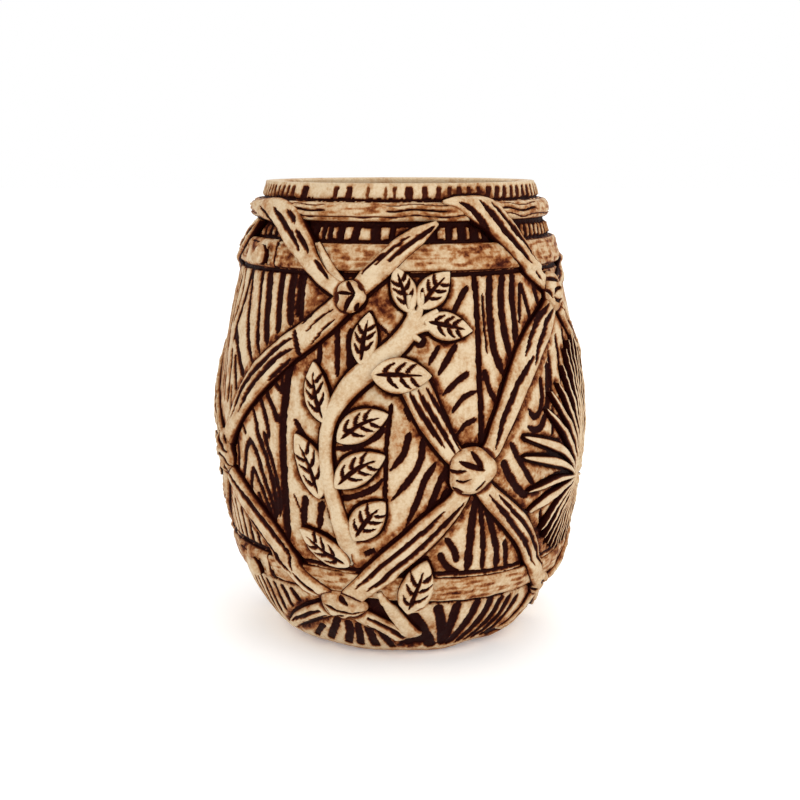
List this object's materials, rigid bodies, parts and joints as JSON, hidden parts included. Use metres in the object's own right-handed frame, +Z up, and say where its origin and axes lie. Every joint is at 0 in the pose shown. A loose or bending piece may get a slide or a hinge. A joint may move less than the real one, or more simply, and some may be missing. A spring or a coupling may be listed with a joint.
{
  "type": "tiki mug",
  "caption": "Barrel-shaped glazed ceramic tiki mug with raised hoops, rope lashings, knots, leafy vines and frond rosettes.",
  "frame": {"origin": "centre of the foot, on the surface the mug stands on", "axes": "+Z up along the barrel's axis, -Y towards the decorated front, +X to the viewer's right"},
  "size_m": [0.1016, 0.1014, 0.12],
  "materials": {
    "body_glaze": "semi-matte cream glaze with dark brown stain wiped into the recesses",
    "hoop_glaze": "semi-matte cream glaze with dark brown stain wiped into the recesses",
    "nail_glaze": "semi-matte cream glaze with dark brown stain wiped into the recesses",
    "rope_glaze": "semi-matte cream glaze with dark brown stain wiped into the recesses",
    "leaf_glaze": "semi-matte cream glaze with dark brown stain wiped into the recesses"
  },
  "bodies": {
    "root": {"mug_body": "body_glaze", "upper_hoop": "hoop_glaze", "lower_hoop": "hoop_glaze", "upper_strap_end_1": "hoop_glaze", "upper_strap_end_2": "hoop_glaze", "lower_strap_end_1": "hoop_glaze", "lower_strap_end_2": "hoop_glaze", "upper_nail_1": "nail_glaze", "upper_nail_2": "nail_glaze", "lower_nail_1": "nail_glaze", "lower_nail_2": "nail_glaze", "neck_cord": "rope_glaze", "neck_lashing_1": "rope_glaze", "neck_lashing_2": "rope_glaze", "neck_lashing_3": "rope_glaze", "neck_lashing_4": "rope_glaze", "upper_knot_1": "rope_glaze", "upper_knot_2": "rope_glaze", "upper_knot_3": "rope_glaze", "upper_knot_4": "rope_glaze", "upper_lashing_1": "rope_glaze", "upper_lashing_2": "rope_glaze", "upper_lashing_3": "rope_glaze", "upper_lashing_4": "rope_glaze", "middle_knot_1": "rope_glaze", "middle_knot_2": "rope_glaze", "middle_knot_3": "rope_glaze", "middle_knot_4": "rope_glaze", "lower_lashing_1": "rope_glaze", "lower_lashing_2": "rope_glaze", "lower_lashing_3": "rope_glaze", "lower_lashing_4": "rope_glaze", "lower_knot_1": "rope_glaze", "lower_knot_2": "rope_glaze", "lower_knot_3": "rope_glaze", "lower_knot_4": "rope_glaze", "foot_lashing_1": "rope_glaze", "foot_lashing_2": "rope_glaze", "foot_lashing_3": "rope_glaze", "foot_lashing_4": "rope_glaze", "vine_stem_1": "leaf_glaze", "vine_stem_2": "leaf_glaze", "vine_leaves_1": "leaf_glaze", "vine_leaves_2": "leaf_glaze", "low_sprig_1": "leaf_glaze", "low_sprig_2": "leaf_glaze", "rosette_button_1": "leaf_glaze", "rosette_button_2": "leaf_glaze", "rosette_petals_1": "leaf_glaze", "rosette_petals_2": "leaf_glaze"}
  },
  "joints": []
}
